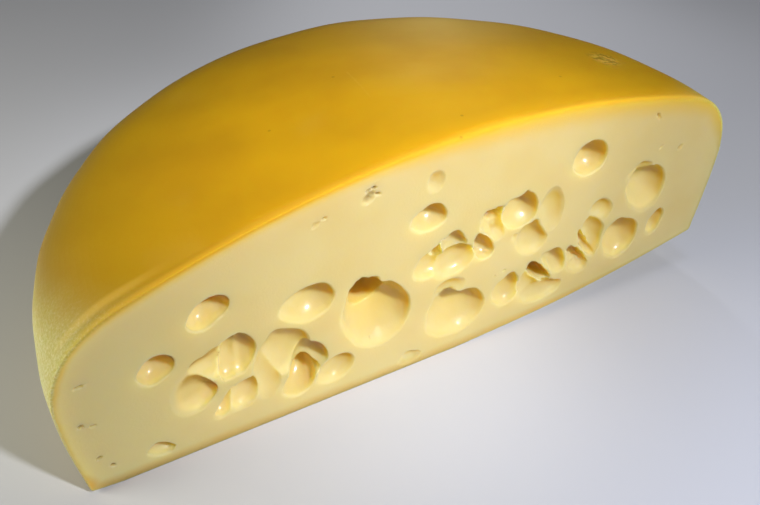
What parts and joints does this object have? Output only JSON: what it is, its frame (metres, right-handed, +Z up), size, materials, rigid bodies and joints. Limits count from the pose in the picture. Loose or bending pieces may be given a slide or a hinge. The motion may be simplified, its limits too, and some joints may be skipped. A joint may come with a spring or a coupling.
{
  "type": "half wheel of emmental cheese",
  "caption": "Half wheel of cheese with domed rind and a flat cut face full of round eyes, lying on its flattened underside.",
  "frame": {"origin": "on the ground under the middle of the half wheel's box", "axes": "+X along the cut face, towards its lifted end; +Y from the cut face back to the rind; +Z up, through the wheel's thickness"},
  "size_m": [0.3997, 0.1996, 0.1507],
  "materials": {
    "cheese": "pale yellow cheese paste, satin and slightly moist, with a smooth golden rind"
  },
  "bodies": {
    "root": {"cheese_half": "cheese"}
  },
  "joints": []
}
